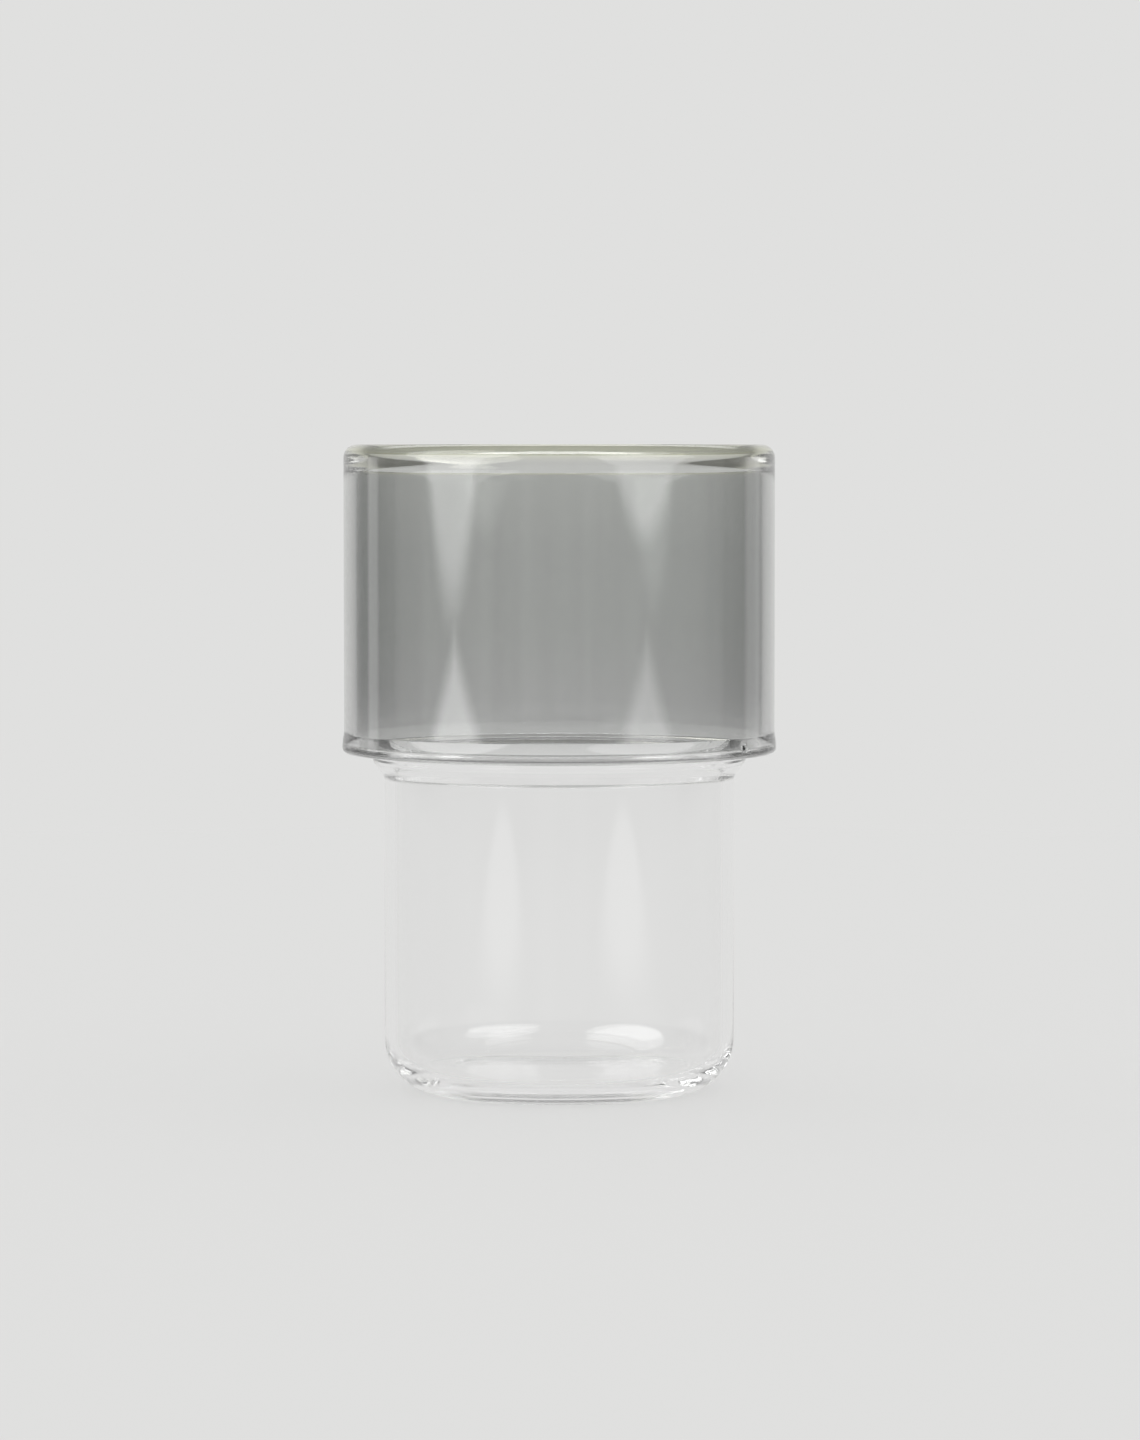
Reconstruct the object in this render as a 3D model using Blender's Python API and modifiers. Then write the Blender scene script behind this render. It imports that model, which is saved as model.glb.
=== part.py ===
"""Two-tone highball glass.

A wide smoke-grey tube with a fire-polished rim stands on the flange of a narrower clear cup, and
a pale glass ring between them seals the joint.
Units are metres, +Z is up, and the origin is the centre of the foot on the table.
"""

import math

import bpy
from mathutils import Vector
from mathutils.geometry import interpolate_bezier

# Driving dimensions
OVERALL_HEIGHT = 0.1200
JOINT_HEIGHT = 0.0665
CLEARANCE = 0.0003

# Smoke band: a straight tube, a little thicker at its foot, with a bead inside its rim
BAND_DIAMETER = 0.0800
BAND_WALL = 0.0023
FOOT_WALL = 0.0026
FOOT_LENGTH = 0.0185
RIM_WALL = 0.0039
RIM_OUTER_ROUND = 0.0025
BEAD_DEPTH = 0.0058

# Seal ring: flush with the band at its top and swelling downwards
RING_HEIGHT = 0.0020
RING_BULGE = 0.0003

# Clear cup
CUP_DIAMETER = 0.0650
CUP_WALL = 0.0022
BASE_THICKNESS = 0.0032
CORNER_RADIUS = 0.0100
INNER_CORNER_RADIUS = 0.0055
FOOT_RING_WIDTH = 0.0035
PUNT_RISE = 0.0008

# Shoulder of the cup: a short flare, an upright neck and a flat flange that carries the ring
FLARE_SPREAD = 0.0022
FLARE_HEIGHT = 0.0034
NECK_HEIGHT = 0.0015
FLANGE_THICKNESS = 0.0011
FLANGE_EDGE = 0.0013
CREASE_RADIUS = 0.0015
NECK_RADIUS = 0.0018
UNDERSIDE_FILLET = 0.0006
LIP_RADIUS = 0.0008

# Colours
SMOKE_COLOUR = (0.36, 0.36, 0.35)
CLEAR_COLOUR = (0.93, 0.94, 0.94)
SEAL_COLOUR = (0.80, 0.80, 0.79)

# Fineness of the turned surfaces
TURN_STEPS = 64
ARC_STEPS = 5
WALL_STEPS = 6
CORNER_STEPS = 7
FILLET_STEPS = 3
RING_STEPS = 3
PUNT_STEPS = 3
AXIS_MERGE = 0.00001

OBJECT_NAME = "highball_glass"

# Sizes that follow from the ones above
band_radius = BAND_DIAMETER / 2
foot_inner_radius = band_radius - FOOT_WALL
ring_top = JOINT_HEIGHT - CLEARANCE
ring_bottom = ring_top - RING_HEIGHT
flange_radius = band_radius + RING_BULGE
flange_top = ring_bottom - CLEARANCE
flange_bottom = flange_top - FLANGE_THICKNESS
cup_radius = CUP_DIAMETER / 2
cup_inner_radius = cup_radius - CUP_WALL
step_width = flange_radius - cup_radius
neck_radius = cup_radius + min(FLARE_SPREAD, step_width / 2)
flange_edge = min(FLANGE_EDGE, (flange_radius - neck_radius) / 2)
neck_foot = flange_bottom - NECK_HEIGHT
crease_height = neck_foot - FLARE_HEIGHT


def arc(centre, width, height, start, end, steps=ARC_STEPS):
    """Points on an ellipse with these half axes, between two angles in radians."""
    points = []
    for step in range(steps + 1):
        angle = start + (end - start) * step / steps
        points.append((centre[0] + width * math.cos(angle), centre[1] + height * math.sin(angle)))
    return points


def rounded(corners, steps=FILLET_STEPS):
    """Points along a path of corners, each a radius, a height and a rounding, limited by its edges."""
    points = [corners[0][:2]]
    for before, corner, after in zip(corners, corners[1:], corners[2:]):
        here = Vector(corner[:2])
        back = Vector(before[:2]) - here
        ahead = Vector(after[:2]) - here
        half = back.angle(ahead) / 2
        room = min(back.length, ahead.length) / 2 * math.tan(half)
        rounding = min(corner[2], room)
        back.normalize()
        ahead.normalize()
        centre = here + (back + ahead).normalized() * rounding / math.sin(half)
        start = here + back * rounding / math.tan(half) - centre
        end = here + ahead * rounding / math.tan(half) - centre
        for step in range(steps + 1):
            points.append(tuple(centre + start.slerp(end, step / steps).normalized() * rounding))
    points.append(corners[-1][:2])
    return points


def glass(name, colour):
    """A smooth clear or tinted glass."""
    material = bpy.data.materials.new(name)
    material.use_nodes = True
    shader = material.node_tree.nodes["Principled BSDF"]
    shader.inputs["Base Color"].default_value = (*colour, 1.0)
    shader.inputs["Roughness"].default_value = 0.03
    shader.inputs["Metallic"].default_value = 0.0
    shader.inputs["Transmission Weight"].default_value = 1.0
    shader.inputs["IOR"].default_value = 1.47
    return material


def turned(name, profile, material, closed):
    """A solid of revolution from a profile that runs down its outer side."""
    mesh = bpy.data.meshes.new(name)
    edges = [(index, index + 1) for index in range(len(profile) - 1)]
    if closed:
        edges.append((len(profile) - 1, 0))
    mesh.from_pydata([(radius, 0.0, height) for radius, height in profile], edges, [])
    mesh.materials.append(material)
    piece = bpy.data.objects.new(name, mesh)
    screw = piece.modifiers.new("turn", "SCREW")
    screw.axis = "Z"
    screw.steps = TURN_STEPS
    screw.render_steps = TURN_STEPS
    screw.use_merge_vertices = True
    screw.merge_threshold = AXIS_MERGE
    screw.use_smooth_shade = True
    return piece


def band_profile():
    """Rounded rim, straight outer side, flat lower edge, and the inner side up over its bead."""
    outer_round = min(RIM_OUTER_ROUND, RIM_WALL - CLEARANCE)
    inner_round = RIM_WALL - outer_round
    crest = band_radius - outer_round
    outer_rim = arc((crest, OVERALL_HEIGHT - outer_round), outer_round, outer_round, math.pi / 2, 0)
    inner_rim = arc((crest, OVERALL_HEIGHT - inner_round), inner_round, inner_round, math.pi, math.pi / 2)
    wall = []
    for step in range(WALL_STEPS + 1):
        share = step / WALL_STEPS
        ease = share**2 * (3 - 2 * share)
        radius = foot_inner_radius + (FOOT_WALL - BAND_WALL) * ease
        wall.append((radius, JOINT_HEIGHT + FOOT_LENGTH * share))
    bead_foot = Vector((band_radius - BAND_WALL, OVERALL_HEIGHT - BEAD_DEPTH))
    bead_top = Vector((band_radius - RIM_WALL, OVERALL_HEIGHT - inner_round))
    reach = Vector((0, (bead_top.y - bead_foot.y) / 2))
    bead = interpolate_bezier(bead_foot, bead_foot + reach, bead_top - reach, bead_top, ARC_STEPS + 1)
    inside = wall + [tuple(point) for point in bead]
    return outer_rim + [(band_radius, JOINT_HEIGHT)] + inside + inner_rim[1:-1]


def ring_profile():
    """A soft bulge outside, and flat faces above, below and inside."""
    outside = []
    for step in range(RING_STEPS + 1):
        share = 1 - step / RING_STEPS
        outside.append((band_radius + RING_BULGE * (1 - share**2), ring_bottom + RING_HEIGHT * share))
    return outside + [(foot_inner_radius, ring_bottom), (foot_inner_radius, ring_top)]


def inner_side():
    """Inside of the cup above its corner: the wall, the flare, the neck and the flange's upper face."""
    slant = math.atan2(neck_radius - cup_radius, FLARE_HEIGHT)
    lift = CUP_WALL * math.tan(slant / 2)
    neck_inner_radius = neck_radius - CUP_WALL
    return rounded((
        (cup_inner_radius, BASE_THICKNESS + INNER_CORNER_RADIUS, 0),
        (cup_inner_radius, crease_height + lift, CREASE_RADIUS),
        (neck_inner_radius, neck_foot + lift, NECK_RADIUS),
        (neck_inner_radius, flange_top, LIP_RADIUS),
        (flange_radius, flange_top, 0),
    ))


def outer_side():
    """Outside of the cup down to its corner: the flange's edge and underside, neck, flare and wall."""
    underside = flange_radius - flange_edge
    edge = arc((underside, flange_top), flange_edge, FLANGE_THICKNESS, 0, -math.pi / 2)
    below = rounded((
        (underside, flange_bottom, 0),
        (neck_radius, flange_bottom, UNDERSIDE_FILLET),
        (neck_radius, neck_foot, NECK_RADIUS),
        (cup_radius, crease_height, CREASE_RADIUS),
        (cup_radius, CORNER_RADIUS, 0),
    ))
    return edge[1:] + below[1:-1]


def cup_profile():
    """From the middle of the floor, up the inside, over the flange and down the outside."""
    floor_centre = (cup_inner_radius - INNER_CORNER_RADIUS, BASE_THICKNESS + INNER_CORNER_RADIUS)
    floor_arc = arc(floor_centre, INNER_CORNER_RADIUS, INNER_CORNER_RADIUS, -math.pi / 2, 0, CORNER_STEPS)
    foot_centre = (cup_radius - CORNER_RADIUS, CORNER_RADIUS)
    foot_arc = arc(foot_centre, CORNER_RADIUS, CORNER_RADIUS, 0, -math.pi / 2, CORNER_STEPS)
    punt_radius = cup_radius - CORNER_RADIUS - FOOT_RING_WIDTH
    punt = []
    for step in range(PUNT_STEPS + 1):
        share = 1 - step / PUNT_STEPS
        punt.append((punt_radius * share, PUNT_RISE * (1 - share**2)))
    inside = [(0, BASE_THICKNESS)] + floor_arc + inner_side()[1:]
    return inside + outer_side() + foot_arc + punt


def main():
    for old in list(bpy.data.objects):
        bpy.data.objects.remove(old)
    smoke = glass("smoke_glass", SMOKE_COLOUR)
    clear = glass("clear_glass", CLEAR_COLOUR)
    seal = glass("seal_glass", SEAL_COLOUR)
    base = bpy.data.objects.new(OBJECT_NAME, None)
    pieces = [
        turned("smoke_band", band_profile(), smoke, closed=True),
        turned("seal_ring", ring_profile(), seal, closed=True),
        turned("clear_cup", cup_profile(), clear, closed=False),
    ]
    collection = bpy.data.collections.new(OBJECT_NAME)
    bpy.context.scene.collection.children.link(collection)
    for thing in [base] + pieces:
        collection.objects.link(thing)
    for piece in pieces:
        piece.parent = base


main()
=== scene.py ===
"""Looks of a two-tone highball glass: smoke-grey and clear glass, fused, in a pale light tent."""

import math

import bpy
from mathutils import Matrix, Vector, noise
from mathutils.geometry import interpolate_bezier


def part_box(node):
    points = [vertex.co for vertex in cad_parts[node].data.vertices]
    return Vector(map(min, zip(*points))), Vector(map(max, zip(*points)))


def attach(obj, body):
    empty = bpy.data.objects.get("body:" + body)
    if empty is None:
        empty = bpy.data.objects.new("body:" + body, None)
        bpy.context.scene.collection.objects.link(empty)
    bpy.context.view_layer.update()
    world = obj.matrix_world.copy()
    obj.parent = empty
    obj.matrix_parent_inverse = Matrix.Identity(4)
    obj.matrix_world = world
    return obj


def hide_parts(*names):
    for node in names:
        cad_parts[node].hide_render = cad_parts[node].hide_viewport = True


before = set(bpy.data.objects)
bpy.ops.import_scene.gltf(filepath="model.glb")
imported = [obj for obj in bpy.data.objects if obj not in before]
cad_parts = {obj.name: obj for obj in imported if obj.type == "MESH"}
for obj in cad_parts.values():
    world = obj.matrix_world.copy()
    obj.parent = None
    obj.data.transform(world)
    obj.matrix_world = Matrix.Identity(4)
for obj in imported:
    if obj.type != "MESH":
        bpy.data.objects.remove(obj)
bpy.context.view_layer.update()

# Sizes in metres. What the solids' boxes show is read from them.
band_low, band_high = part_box("smoke_band")
cup_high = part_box("clear_cup")[1]

BAND_RADIUS = band_high[0]
RIM_HEIGHT = band_high[2]
JOINT_HEIGHT = band_low[2]
FLANGE_RADIUS = cup_high[0]

# Smoke band. The runs say how upright the bead starts and ends, in parts of its depth.
BAND_WALL = 0.0023
RIM_WALL = 0.0039
RIM_OUTER_ROUND = 0.0025
BEAD_DEPTH = 0.0058
BEAD_FOOT_RUN = 0.4
BEAD_TOP_RUN = 0.35

# Wall, corners and base of the clear cup. The lift keeps the foot just clear of the table top.
CUP_RADIUS = 0.0325
CUP_WALL = 0.0022
BASE_THICKNESS = 0.0032
CORNER_RADIUS = 0.0100
INNER_CORNER_RADIUS = 0.0065
FOOT_RADIUS = 0.0252
FOOT_EDGE = 0.0004
FOOT_LIFT = 0.00002
PUNT_RADIUS = 0.0194
PUNT_STEP = 0.0020
PUNT_RISE = 0.00012

# Shoulder of the cup: a short flare, an upright neck and the flange that carries the ring
CREASE_HEIGHT = 0.0584
CREASE_RADIUS = 0.0010
NECK_RADIUS = 0.0347
NECK_HEIGHT = 0.0613
NECK_ROUND = 0.0018
FLANGE_BOTTOM = 0.0628
FLANGE_THICKNESS = 0.0011
FLANGE_ROUND = 0.0010
UNDERSIDE_FILLET = 0.0006
SHELF_LIP = 0.0008
SHELF_FILLET = 0.0006

# Fused faces lie this far apart, and light passes them unbent.
MELT = 0.00001

# Slight waves of hand-worked glass: their depth, how many go round, their height,
# and how fast they change with the radius
WAVE_DEPTH = 0.000015
WAVES_ROUND = 2.0
WAVE_HEIGHT = 0.020
WAVE_SHIFT = 400

# Nub where the thread of the seal began and ended
NUB_AZIMUTH = math.radians(57)
NUB_HEIGHT = 0.0648
NUB_RISE = 0.00035
NUB_SIZE = 0.0007

# Fineness of the turned glass
TURN_STEPS = 256
RING_TURN_STEPS = 768
ARC_STEPS = 14
WALL_STEPS = 40
SHARP_ANGLE = math.radians(35)

IOR = 1.47
# Heights in metres and the tints of the glass there
SMOKE_COLOURS = (
    (0.0665, (0.70, 0.705, 0.70)),
    (0.0720, (0.70, 0.705, 0.70)),
    (0.0860, (0.673, 0.683, 0.672)),
    (0.1000, (0.673, 0.683, 0.672)),
    (0.1140, (0.71, 0.72, 0.705)),
    (0.1170, (0.72, 0.725, 0.705)),
    (0.1190, (0.88, 0.89, 0.71)),
)
SEAL_COLOURS = ((0.0640, (0.86, 0.865, 0.86)), (0.0665, (0.74, 0.745, 0.74)))
CLEAR_COLOURS = (
    (0.0, (0.995, 0.995, 0.995)),
    (0.0628, (0.995, 0.995, 0.995)),
    (0.0631, (0.20, 0.20, 0.20)),
    (0.0636, (0.20, 0.20, 0.20)),
    (0.0639, (0.85, 0.855, 0.85)),
)
# Tints that darken the glass where it is seen edge on, and how early they set in
SMOKE_EDGE = (0.65, 0.65, 0.65)
CLEAR_EDGE = (0.97, 0.97, 0.97)
EDGE_BLEND = 0.5

# Marks on the glass: upright lines from drawing the tube, dark specks, and faint smudges
DRAW_SCALE = (220, 220, 5)
DRAW_RANGE = (0.3, 0.7)
SMOKE_DRAW = (0.96, 1.02)
CLEAR_DRAW = (0.99, 1.0)
SPECK_SCALE = 45
SPECK_RANGE = (0.006, 0.012)
SPECK_TINT = (0.35, 1.0)
SMUDGE_SCALE = (30, 30, 22)
SMUDGE_RANGE = (0.55, 0.75)
SMUDGE_ROUGHNESS = (0.0, 0.03)
MARK_DETAIL = 3

# Camera, from the photograph's own frame
PHOTO_HEIGHT = 1440
FOCAL_PIXELS = 5263
SENSOR = 36
CAMERA_DISTANCE = 0.977
CAMERA_HEIGHT = 0.120
CAMERA_SIDE = 0.002
CAMERA_DROP = math.radians(3.0)

# Table top, which fades out between two radii
FLOOR_RADIUS = 1.5
FLOOR_STEPS = 96
FLOOR_FADE = (0.30, 1.2)
FLOOR_COLOUR = (0.19, 0.19, 0.188)
FLOOR_GLOW = 0.75
FLOOR_ROUGHNESS = 0.9

# World: a grey room in front, dark flags, and a backdrop that also stands for the table below.
# The edges are parts of the way back, or up, in a direction of length 1.
ROOM_COLOUR = (0.42, 0.42, 0.42)
FLAG_COLOUR = (0.20, 0.20, 0.20)
BACKDROP_COLOUR = (0.745, 0.745, 0.738)
FLAG_EDGE = (0.10, 0.16)
BACKDROP_EDGE = (0.60, 0.93)
TABLE_EDGE = (-0.062, -0.045)
SKY_LIGHT = 0.975

# Lamps by the pattern of their light: softboxes, low strips that narrow upwards, tall strips behind the
# glass, bright stretches of the table, and glows over the rim. All but the softboxes only show as
# reflections. Each has a name, an azimuth in degrees, a distance, a height, a width, an upright width and
# a brightness.
LAMPS = {
    "disc": (
        ("left_softbox", -58, 0.60, 0.413, 0.84, 0.84, 3.0),
        ("right_softbox", 45, 0.60, 0.231, 0.74, 0.30, 2.3),
        ("right_upper_softbox", 45, 0.60, 0.53, 0.50, 0.34, 2.0),
    ),
    "taper": (
        ("left_low_strip", -55.5, 0.75, 0.0445, 0.54, 0.049, 5.5),
        ("right_low_strip", 46, 0.75, 0.0440, 0.55, 0.049, 3.3),
    ),
    "column": (
        ("left_edge_strip", -114.5, 0.70, 0.091, 0.17, 0.138, 1.15),
        ("right_edge_strip", 123, 0.70, 0.091, 0.28, 0.138, 0.8),
    ),
    "pool": (
        ("left_table_glow", -36, 0.38, 0.002, 0.18, 0.56, 1.15),
        ("right_table_glow", 41, 0.38, 0.002, 0.20, 0.56, 1.25),
    ),
    "glow": (
        ("front_top_glow", 0, 0.60, 0.70, 1.80, 0.45, 11.0),
        ("back_top_glow", 180, 0.57, 0.69, 1.40, 0.37, 2.2),
    ),
}
SOFT_EDGES = {"disc": 0.1, "taper": 0.5, "column": 0.6, "pool": 0.5, "glow": 0.5}
TARGET_HEIGHT = 0.06
LIGHT_BOUNCES = 64

# Sizes that follow from the ones above
cup_inner_radius = CUP_RADIUS - CUP_WALL
band_inner_radius = BAND_RADIUS - BAND_WALL
flange_top = FLANGE_BOTTOM + FLANGE_THICKNESS


def arc(centre, width, height, start, end):
    """Points on an ellipse with these half axes, between two angles in radians."""
    points = []
    for step in range(ARC_STEPS + 1):
        angle = start + (end - start) * step / ARC_STEPS
        points.append((centre[0] + width * math.cos(angle), centre[1] + height * math.sin(angle)))
    return points


def rounded(corners):
    """Points along a path of corners, each a radius, a height and the radius of its rounding."""
    points = [corners[0][:2]]
    for before, corner, after in zip(corners, corners[1:], corners[2:]):
        here = Vector(corner[:2])
        rounding = corner[2]
        back = (Vector(before[:2]) - here).normalized()
        ahead = (Vector(after[:2]) - here).normalized()
        half = back.angle(ahead) / 2
        centre = here + (back + ahead).normalized() * rounding / math.sin(half)
        start = here + back * rounding / math.tan(half) - centre
        end = here + ahead * rounding / math.tan(half) - centre
        for step in range(ARC_STEPS + 1):
            points.append(tuple(centre + start.slerp(end, step / ARC_STEPS).normalized() * rounding))
    points.append(corners[-1][:2])
    return points


def outer_shoulder():
    """Outer side of the cup from its wall up over the neck, and out to the edge of the flange."""
    underside = FLANGE_RADIUS - FLANGE_ROUND
    below = rounded((
        (CUP_RADIUS, CORNER_RADIUS, 0),
        (CUP_RADIUS, CREASE_HEIGHT, CREASE_RADIUS),
        (NECK_RADIUS, NECK_HEIGHT, NECK_ROUND),
        (NECK_RADIUS, FLANGE_BOTTOM, UNDERSIDE_FILLET),
        (underside, FLANGE_BOTTOM, 0),
    ))
    return below[:-1] + arc((underside, flange_top), FLANGE_ROUND, FLANGE_THICKNESS, -math.pi / 2, 0)


def inner_cup():
    """Inner side of the cup, from its floor up over the neck to the flange's upper side."""
    slant = math.atan2(NECK_RADIUS - CUP_RADIUS, NECK_HEIGHT - CREASE_HEIGHT)
    lift = CUP_WALL * math.tan(slant / 2)
    return rounded((
        (cup_inner_radius, BASE_THICKNESS + INNER_CORNER_RADIUS, 0),
        (cup_inner_radius, CREASE_HEIGHT + lift, CREASE_RADIUS),
        (NECK_RADIUS - CUP_WALL, NECK_HEIGHT + lift, NECK_ROUND),
        (NECK_RADIUS - CUP_WALL, flange_top, SHELF_LIP),
        (band_inner_radius - SHELF_FILLET, flange_top, 0),
    ))


def band_stretches():
    """Rounded rim and straight outer side, fused lower edge, and the inner side with its bead."""
    inner_round = RIM_WALL - RIM_OUTER_ROUND
    crest = BAND_RADIUS - RIM_OUTER_ROUND
    rim_foot = RIM_HEIGHT - RIM_OUTER_ROUND
    outer_rim = arc((crest, rim_foot), RIM_OUTER_ROUND, RIM_OUTER_ROUND, math.pi / 2, 0)
    inner_rim = arc((crest, RIM_HEIGHT - inner_round), inner_round, inner_round, math.pi, math.pi / 2)
    bead_foot = Vector((band_inner_radius, RIM_HEIGHT - BEAD_DEPTH))
    bead_top = Vector((BAND_RADIUS - RIM_WALL, RIM_HEIGHT - inner_round))
    bead = interpolate_bezier(
        bead_foot,
        bead_foot + Vector((0, BEAD_DEPTH * BEAD_FOOT_RUN)),
        bead_top - Vector((0, BEAD_DEPTH * BEAD_TOP_RUN)),
        bead_top,
        ARC_STEPS + 1,
    )
    outside = outer_rim[:-1]
    wall = []
    for step in range(WALL_STEPS + 1):
        share = step / WALL_STEPS
        outside.append((BAND_RADIUS, rim_foot * (1 - share) + JOINT_HEIGHT * share))
        wall.append((band_inner_radius, JOINT_HEIGHT * (1 - share) + bead_foot.y * share))
    inside = wall[1:-1] + [tuple(point) for point in bead] + inner_rim[1:-1]
    return [(outside, False), (wall[:1], True), (inside + outside[:1], False)]


def ring_stretches():
    """A soft bulge outside, fused faces above and below, and a small fillet inside."""
    top = JOINT_HEIGHT - MELT
    foot = flange_top + MELT
    outside = []
    for step in range(ARC_STEPS + 1):
        share = 1 - step / ARC_STEPS
        bulge = (FLANGE_RADIUS - BAND_RADIUS) * (1 - share**2)
        outside.append((BAND_RADIUS + bulge, foot + (top - foot) * share))
    fillet_centre = (band_inner_radius - SHELF_FILLET, foot + SHELF_FILLET)
    fillet = arc(fillet_centre, SHELF_FILLET, SHELF_FILLET, -math.pi / 2, 0)
    inside = fillet[1:] + [(band_inner_radius, top)]
    return [(outside, False), (fillet[:1], True), (inside, False), (outside[:1], True)]


def cup_stretches():
    """From the middle of the floor, up the inside, over the fused flange and down the outside."""
    floor_centre = (cup_inner_radius - INNER_CORNER_RADIUS, BASE_THICKNESS + INNER_CORNER_RADIUS)
    floor_arc = arc(floor_centre, INNER_CORNER_RADIUS, INNER_CORNER_RADIUS, -math.pi / 2, 0)
    meeting = math.acos((FOOT_RADIUS - CUP_RADIUS + CORNER_RADIUS) / CORNER_RADIUS)
    foot_centre = (CUP_RADIUS - CORNER_RADIUS, FOOT_LIFT + CORNER_RADIUS * math.sin(meeting))
    foot_arc = arc(foot_centre, CORNER_RADIUS, CORNER_RADIUS, 0, -meeting)
    punt = [(FOOT_RADIUS - FOOT_EDGE, FOOT_LIFT)]
    for step in range(ARC_STEPS + 1):
        share = step / ARC_STEPS
        ease = share**2 * (3 - 2 * share)
        punt.append((PUNT_RADIUS + PUNT_STEP * (0.5 - share), FOOT_LIFT + PUNT_RISE * ease))
    punt.append((0, FOOT_LIFT + PUNT_RISE))
    outer_side = outer_shoulder()[::-1]
    inside = [(0, BASE_THICKNESS)] + floor_arc + inner_cup()[1:]
    return [(inside, False), (outer_side[:1], True), (outer_side[1:-1] + foot_arc + punt, False)]


def waved(radius, angle, height):
    """Radius with the slight waves of hand-worked glass, and the nub of the seal."""
    place = Vector((WAVES_ROUND * math.cos(angle), WAVES_ROUND * math.sin(angle), 0))
    place.z = height / WAVE_HEIGHT + radius * WAVE_SHIFT
    radius += WAVE_DEPTH * noise.noise(place) * min(1, radius / CUP_RADIUS)
    past_nub = angle + math.pi / 2 - NUB_AZIMUTH
    on_outside = radius > BAND_RADIUS - RIM_WALL / 2
    if on_outside and math.cos(past_nub) > 0:
        aside = radius * math.sin(past_nub)
        radius += NUB_RISE * math.exp(-(aside**2 + (height - NUB_HEIGHT)**2) / NUB_SIZE**2)
    return radius


def revolved(name, stretches, skin, joint, steps=TURN_STEPS):
    """Turns a profile about Z. Its stretches are points, and whether the edges up to them are fused."""
    profile = []
    fused = []
    for points, is_joint in stretches:
        profile += points
        fused += [is_joint] * len(points)
    closed = profile[0][0] > 0
    if closed:
        profile.pop()
        fused[0] = fused.pop()
    vertices = []
    first = []
    for radius, height in profile:
        first.append(len(vertices))
        turns = steps if radius > 0 else 1
        for turn in range(turns):
            angle = 2 * math.pi * turn / steps
            reach = waved(radius, angle, height)
            vertices.append((reach * math.cos(angle), reach * math.sin(angle), height))
    faces = []
    slots = []
    for index in range(len(profile) if closed else len(profile) - 1):
        after = (index + 1) % len(profile)
        for turn in range(steps):
            corners = []
            for place, step in ((index, turn), (after, turn), (after, turn + 1), (index, turn + 1)):
                on_axis = profile[place][0] == 0
                corner = first[place] + (0 if on_axis else step % steps)
                if corner not in corners:
                    corners.append(corner)
            faces.append(corners)
            slots.append(int(fused[after]))
    mesh = bpy.data.meshes.new(name)
    mesh.from_pydata(vertices, [], faces)
    mesh.materials.append(skin)
    mesh.materials.append(joint)
    mesh.polygons.foreach_set("material_index", slots)
    mesh.shade_smooth()
    mesh.set_sharp_from_angle(angle=SHARP_ANGLE)
    piece = bpy.data.objects.new(name, mesh)
    bpy.context.scene.collection.objects.link(piece)
    return piece


def made(piece, node):
    """Puts a piece in the place of a CAD node."""
    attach(piece, "root")
    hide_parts(node)


def feed(tree, socket, value):
    """Links a socket to another one, or gives it a number or a colour."""
    if isinstance(value, bpy.types.NodeSocket):
        tree.links.new(value, socket)
    else:
        socket.default_value = value


def computed(tree, operation, *values):
    """A socket with the result of an operation on sockets and numbers."""
    node = tree.nodes.new("ShaderNodeMath")
    node.operation = operation
    for socket, value in zip(node.inputs, values):
        feed(tree, socket, value)
    return node.outputs[0]


def remapped(tree, value, reach, values=(0, 1), interpolation="LINEAR"):
    """A socket on which the range of another socket is mapped to two values."""
    node = tree.nodes.new("ShaderNodeMapRange")
    node.interpolation_type = interpolation
    tree.links.new(value, node.inputs["Value"])
    for socket, number in zip(("From Min", "From Max", "To Min", "To Max"), reach + values):
        node.inputs[socket].default_value = number
    return node.outputs["Result"]


def mixed(tree, factor, first, second, blend="MIX"):
    """A socket with two colours, mixed by a factor."""
    node = tree.nodes.new("ShaderNodeMix")
    node.data_type = "RGBA"
    node.blend_type = blend
    for socket, value in (("Factor", factor), ("A", first), ("B", second)):
        feed(tree, node.inputs[socket], value)
    return node.outputs["Result"]


def mixed_shader(tree, factor, first, second):
    """A socket with two shaders, mixed by a factor."""
    node = tree.nodes.new("ShaderNodeMixShader")
    for socket, source in zip(node.inputs, (factor, first, second)):
        tree.links.new(source, socket)
    return node.outputs[0]


def marking(tree, place, scale, reach, values):
    """A socket with noise, stretched by a scale per axis, whose range is mapped to two values."""
    stretch = tree.nodes.new("ShaderNodeMapping")
    stretch.inputs["Scale"].default_value = scale
    cloud = tree.nodes.new("ShaderNodeTexNoise")
    cloud.inputs["Scale"].default_value = 1
    cloud.inputs["Detail"].default_value = MARK_DETAIL
    tree.links.new(place, stretch.inputs["Vector"])
    tree.links.new(stretch.outputs[0], cloud.inputs["Vector"])
    return remapped(tree, cloud.outputs["Fac"], reach, values)


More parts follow.
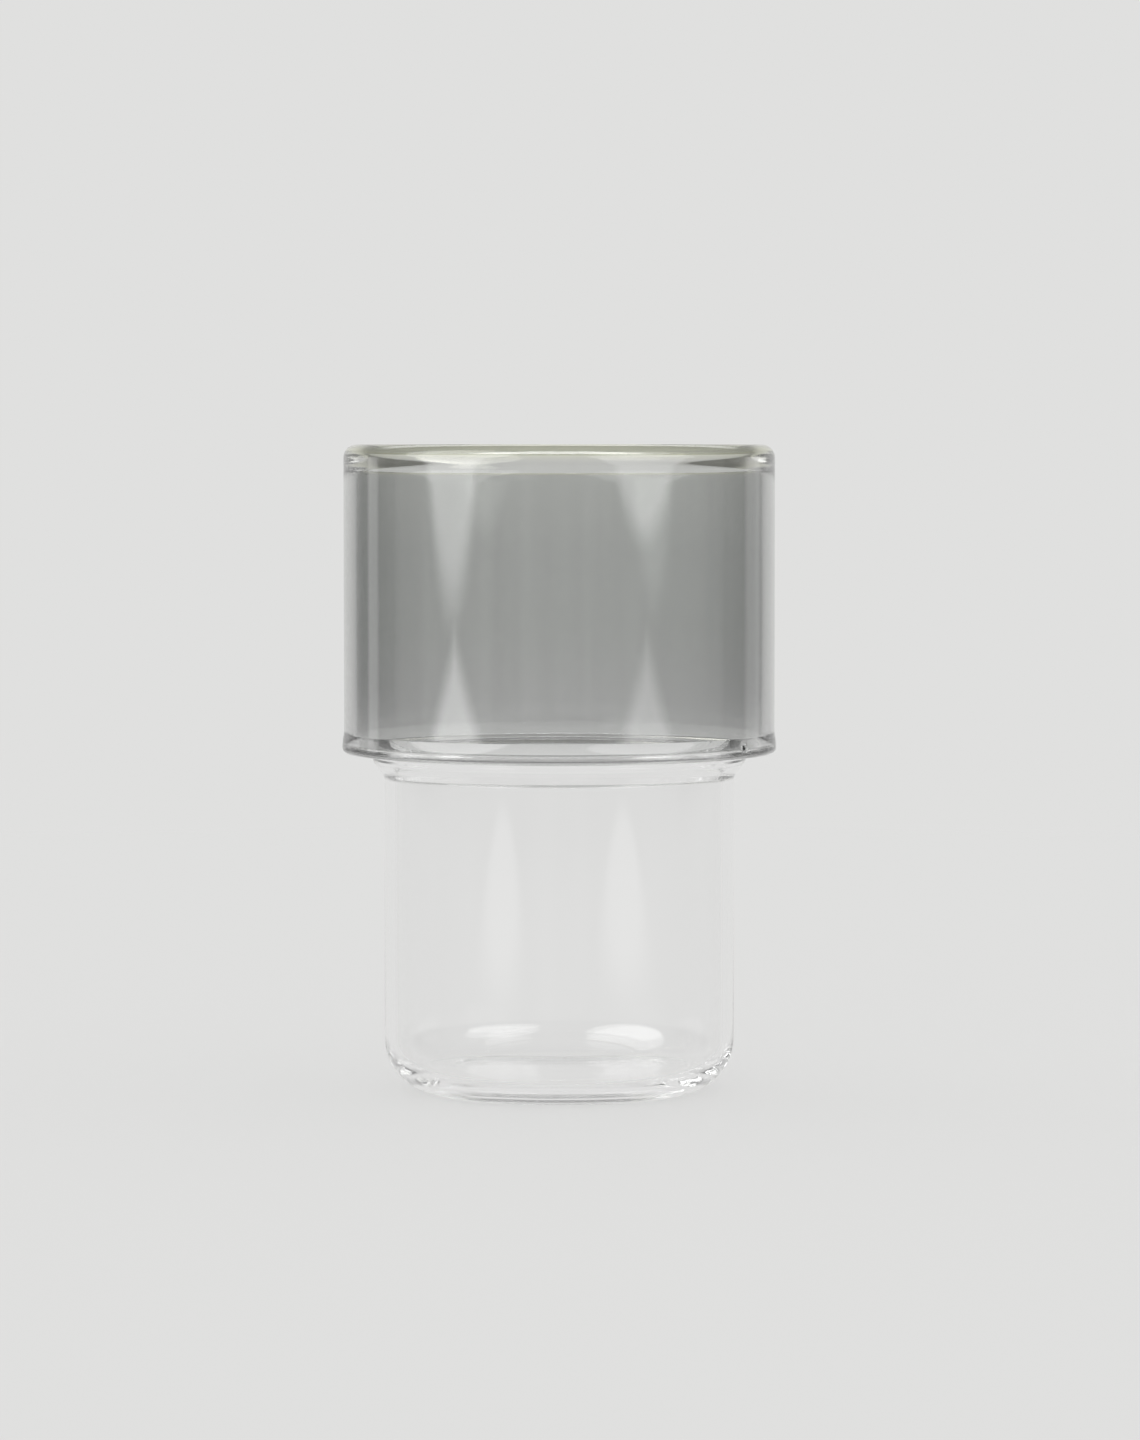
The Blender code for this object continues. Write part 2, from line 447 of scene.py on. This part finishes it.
def glass(name, colours, edge_colour, draw_tint):
    """Smooth glass with slight marks. Its tint goes by height, and deepens where it is seen edge on."""
    material = bpy.data.materials.new(name)
    material.use_nodes = True
    tree = material.node_tree
    shader = tree.nodes["Principled BSDF"]
    shader.inputs["Transmission Weight"].default_value = 1
    shader.inputs["IOR"].default_value = IOR
    place = tree.nodes.new("ShaderNodeTexCoord").outputs["Object"]
    split = tree.nodes.new("ShaderNodeSeparateXYZ")
    tree.links.new(place, split.inputs[0])
    ramp = tree.nodes.new("ShaderNodeValToRGB")
    for index, (height, colour) in enumerate(colours):
        if index > 1:
            ramp.color_ramp.elements.new(1)
        ramp.color_ramp.elements[index].position = height / RIM_HEIGHT
        ramp.color_ramp.elements[index].color = (*colour, 1)
    tree.links.new(remapped(tree, split.outputs["Z"], (0, RIM_HEIGHT)), ramp.inputs["Fac"])
    slant = tree.nodes.new("ShaderNodeLayerWeight")
    slant.inputs["Blend"].default_value = EDGE_BLEND
    tint = mixed(tree, slant.outputs["Facing"], ramp.outputs["Color"], (*edge_colour, 1), "MULTIPLY")
    lines = marking(tree, place, DRAW_SCALE, DRAW_RANGE, draw_tint)
    specks = tree.nodes.new("ShaderNodeTexVoronoi")
    specks.inputs["Scale"].default_value = SPECK_SCALE
    tree.links.new(place, specks.inputs["Vector"])
    spots = remapped(tree, specks.outputs["Distance"], SPECK_RANGE, SPECK_TINT)
    marked = mixed(tree, 1, tint, computed(tree, "MULTIPLY", lines, spots), "MULTIPLY")
    tree.links.new(marked, shader.inputs["Base Color"])
    smudges = marking(tree, place, SMUDGE_SCALE, SMUDGE_RANGE, SMUDGE_ROUGHNESS)
    tree.links.new(smudges, shader.inputs["Roughness"])
    return material


def melted():
    """The hidden faces where two pieces of glass are fused."""
    material = bpy.data.materials.new("fused_joint")
    material.use_nodes = True
    tree = material.node_tree
    tree.nodes.clear()
    clear = tree.nodes.new("ShaderNodeBsdfTransparent")
    output = tree.nodes.new("ShaderNodeOutputMaterial")
    tree.links.new(clear.outputs[0], output.inputs["Surface"])
    return material


def add_camera():
    """The camera of the photograph, at the height of the rim and tilted down a little."""
    data = bpy.data.cameras.new("camera")
    data.sensor_width = SENSOR
    data.lens = FOCAL_PIXELS * SENSOR / PHOTO_HEIGHT
    camera = bpy.data.objects.new("camera", data)
    camera.location = (CAMERA_SIDE, -CAMERA_DISTANCE, CAMERA_HEIGHT)
    camera.rotation_euler = (math.pi / 2 - CAMERA_DROP, 0, 0)
    bpy.context.scene.collection.objects.link(camera)
    bpy.context.scene.camera = camera


def sight(tree, *kinds):
    """A socket that is 1 for the rays of these kinds that no matt surface has scattered yet."""
    rays = tree.nodes.new("ShaderNodeLightPath")
    total = rays.outputs[kinds[0]]
    for kind in kinds[1:]:
        total = computed(tree, "ADD", total, rays.outputs[kind])
    unscattered = computed(tree, "LESS_THAN", rays.outputs["Diffuse Depth"], 0.5)
    return computed(tree, "MULTIPLY", total, unscattered)


def add_floor():
    """A pale table top that fades into the backdrop. In the glass it shows as the backdrop's colour."""
    mesh = bpy.data.meshes.new("floor")
    corners = []
    for step in range(FLOOR_STEPS):
        angle = 2 * math.pi * step / FLOOR_STEPS
        corners.append((FLOOR_RADIUS * math.cos(angle), FLOOR_RADIUS * math.sin(angle), 0))
    mesh.from_pydata(corners, [], [range(FLOOR_STEPS)])
    material = bpy.data.materials.new("floor")
    material.use_nodes = True
    tree = material.node_tree
    shader = tree.nodes["Principled BSDF"]
    shader.inputs["Base Color"].default_value = (*FLOOR_COLOUR, 1)
    shader.inputs["Emission Color"].default_value = (*BACKDROP_COLOUR, 1)
    shader.inputs["Emission Strength"].default_value = FLOOR_GLOW
    shader.inputs["Roughness"].default_value = FLOOR_ROUGHNESS
    shader.inputs["Specular IOR Level"].default_value = 0
    glow = tree.nodes.new("ShaderNodeEmission")
    glow.inputs["Color"].default_value = (*BACKDROP_COLOUR, 1)
    in_glass = sight(tree, "Is Glossy Ray", "Is Transmission Ray")
    table = mixed_shader(tree, in_glass, shader.outputs[0], glow.outputs[0])
    place = tree.nodes.new("ShaderNodeNewGeometry")
    reach = tree.nodes.new("ShaderNodeVectorMath")
    reach.operation = "LENGTH"
    tree.links.new(place.outputs["Position"], reach.inputs[0])
    fade = remapped(tree, reach.outputs["Value"], FLOOR_FADE, interpolation="SMOOTHSTEP")
    through = tree.nodes.new("ShaderNodeBsdfTransparent")
    blend = mixed_shader(tree, fade, table, through.outputs[0])
    tree.links.new(blend, tree.nodes["Material Output"].inputs["Surface"])
    mesh.materials.append(material)
    floor = bpy.data.objects.new("floor", mesh)
    bpy.context.scene.collection.objects.link(floor)


def add_world():
    """What is seen is a backdrop with dark flags beside it and a grey room, and the light is even."""
    world = bpy.data.worlds.new("tent")
    world.use_nodes = True
    bpy.context.scene.world = world
    tree = world.node_tree
    sky = tree.nodes["Background"]
    sky.inputs["Color"].default_value = (1, 1, 1, 1)
    sky.inputs["Strength"].default_value = SKY_LIGHT
    direction = tree.nodes.new("ShaderNodeTexCoord")
    split = tree.nodes.new("ShaderNodeSeparateXYZ")
    tree.links.new(direction.outputs["Generated"], split.inputs[0])
    to_flags = remapped(tree, split.outputs["Y"], FLAG_EDGE, interpolation="SMOOTHSTEP")
    to_backdrop = remapped(tree, split.outputs["Y"], BACKDROP_EDGE, interpolation="SMOOTHSTEP")
    off_table = remapped(tree, split.outputs["Z"], TABLE_EDGE, interpolation="SMOOTHSTEP")
    colour = mixed(tree, to_flags, (*ROOM_COLOUR, 1), (*FLAG_COLOUR, 1))
    colour = mixed(tree, to_backdrop, colour, (*BACKDROP_COLOUR, 1))
    colour = mixed(tree, off_table, (*BACKDROP_COLOUR, 1), colour)
    scenery = tree.nodes.new("ShaderNodeBackground")
    scenery.inputs["Strength"].default_value = 1
    tree.links.new(colour, scenery.inputs["Color"])
    seen = sight(tree, "Is Camera Ray", "Is Glossy Ray", "Is Transmission Ray")
    blend = mixed_shader(tree, seen, sky.outputs[0], scenery.outputs[0])
    tree.links.new(blend, tree.nodes["World Output"].inputs["Surface"])


def lamp_face(tree, pattern):
    """A socket that is 1 inside the pattern on the face of a lamp, and fades to 0 at its edge."""
    place = tree.nodes.new("ShaderNodeNewGeometry")
    centred = tree.nodes.new("ShaderNodeVectorMath")
    centred.operation = "MULTIPLY_ADD"
    upright = 0 if pattern == "column" else 1
    centred.inputs[1].default_value = (2, 2 * upright, 0)
    centred.inputs[2].default_value = (-1, -upright, 0)
    tree.links.new(place.outputs["Parametric"], centred.inputs[0])
    if pattern == "taper":
        split = tree.nodes.new("ShaderNodeSeparateXYZ")
        tree.links.new(centred.outputs[0], split.inputs[0])
        half_width = computed(tree, "MULTIPLY_ADD", split.outputs["Y"], -0.5, 0.5)
        aside = computed(tree, "ABSOLUTE", split.outputs["X"])
        inset = computed(tree, "SUBTRACT", half_width, aside)
    else:
        out = tree.nodes.new("ShaderNodeVectorMath")
        out.operation = "LENGTH"
        tree.links.new(centred.outputs[0], out.inputs[0])
        inset = computed(tree, "SUBTRACT", 1, out.outputs["Value"])
    return remapped(tree, inset, (0, SOFT_EDGES[pattern]), interpolation="SMOOTHSTEP")


def add_lamp(pattern, name, azimuth, distance, height, width, tall, radiance):
    """A soft lamp that faces the glass, or lies face up as a pool. Its azimuth runs from -Y to +X."""
    data = bpy.data.lights.new(name, "AREA")
    data.shape = "RECTANGLE"
    data.size = width
    data.size_y = tall
    data.energy = radiance * math.pi * width * tall
    data.use_nodes = True
    tree = data.node_tree
    tree.links.new(lamp_face(tree, pattern), tree.nodes["Emission"].inputs["Strength"])
    lamp = bpy.data.objects.new(name, data)
    lamp.location = (distance * math.sin(azimuth), -distance * math.cos(azimuth), height)
    if pattern == "pool":
        lamp.rotation_euler = (math.pi, 0, azimuth)
    else:
        away = lamp.location - Vector((0, 0, TARGET_HEIGHT))
        lamp.rotation_euler = away.to_track_quat("Z", "Y").to_euler()
    lamp.visible_transmission = pattern == "disc"
    lamp.visible_camera = False
    lamp.visible_diffuse = False
    bpy.context.scene.collection.objects.link(lamp)


def main():
    scene = bpy.context.scene
    scene.view_settings.view_transform = "Standard"
    scene.cycles.max_bounces = LIGHT_BOUNCES
    scene.cycles.transmission_bounces = LIGHT_BOUNCES
    scene.cycles.glossy_bounces = LIGHT_BOUNCES
    scene.cycles.transparent_max_bounces = LIGHT_BOUNCES
    add_camera()
    add_floor()
    add_world()
    joint = melted()
    smoke = glass("smoke_glass", SMOKE_COLOURS, SMOKE_EDGE, SMOKE_DRAW)
    clear = glass("clear_glass", CLEAR_COLOURS, CLEAR_EDGE, CLEAR_DRAW)
    seal = glass("seal_glass", SEAL_COLOURS, CLEAR_EDGE, CLEAR_DRAW)
    made(revolved("smoke_band_glass", band_stretches(), smoke, joint), "smoke_band")
    ring = revolved("seal_ring_glass", ring_stretches(), seal, joint, RING_TURN_STEPS)
    made(ring, "seal_ring")
    made(revolved("clear_cup_glass", cup_stretches(), clear, joint), "clear_cup")
    for pattern, lamps in LAMPS.items():
        for name, azimuth, *sizes in lamps:
            add_lamp(pattern, name, math.radians(azimuth), *sizes)


main()
